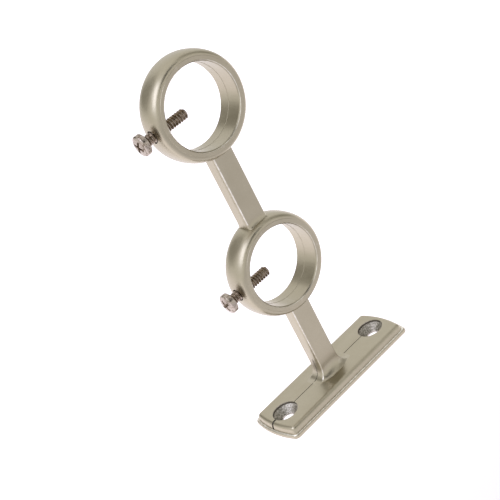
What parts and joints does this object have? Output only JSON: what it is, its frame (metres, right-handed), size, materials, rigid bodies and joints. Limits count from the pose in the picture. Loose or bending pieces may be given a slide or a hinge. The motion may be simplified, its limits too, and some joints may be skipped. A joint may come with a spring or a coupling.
{
  "type": "curtain pole bracket",
  "caption": "Double curtain pole bracket: an oblong moulded wall plate, a flat arm on a flared foot and domed pole rings, each with a cross head clamp screw.",
  "frame": {"origin": "middle of the plate's back face, which lies against the wall", "axes": "+X along the poles, +Y along the plate's long side, away from the clamp screws' heads, +Z out from the wall"},
  "size_m": [0.024, 0.065, 0.137],
  "materials": {
    "satin_nickel": "satin nickel plating with a warm champagne tone on a zinc casting",
    "screw_nickel": "bright nickel plated steel, with dull brown in the thread's roots"
  },
  "bodies": {
    "bracket": {"bracket_body": "satin_nickel"},
    "lower_screw": {"lower_clamp_screw": "screw_nickel"},
    "upper_screw": {"upper_clamp_screw": "screw_nickel"}
  },
  "joints": [
    {"name": "lower_screw_slide", "type": "slide", "parent": "bracket", "child": "lower_screw", "axis": [0, 1, 0], "range_m": [-0.011, 0.0033]},
    {"name": "upper_screw_slide", "type": "slide", "parent": "bracket", "child": "upper_screw", "axis": [0, 1, 0], "range_m": [-0.011, 0.0033]}
  ]
}
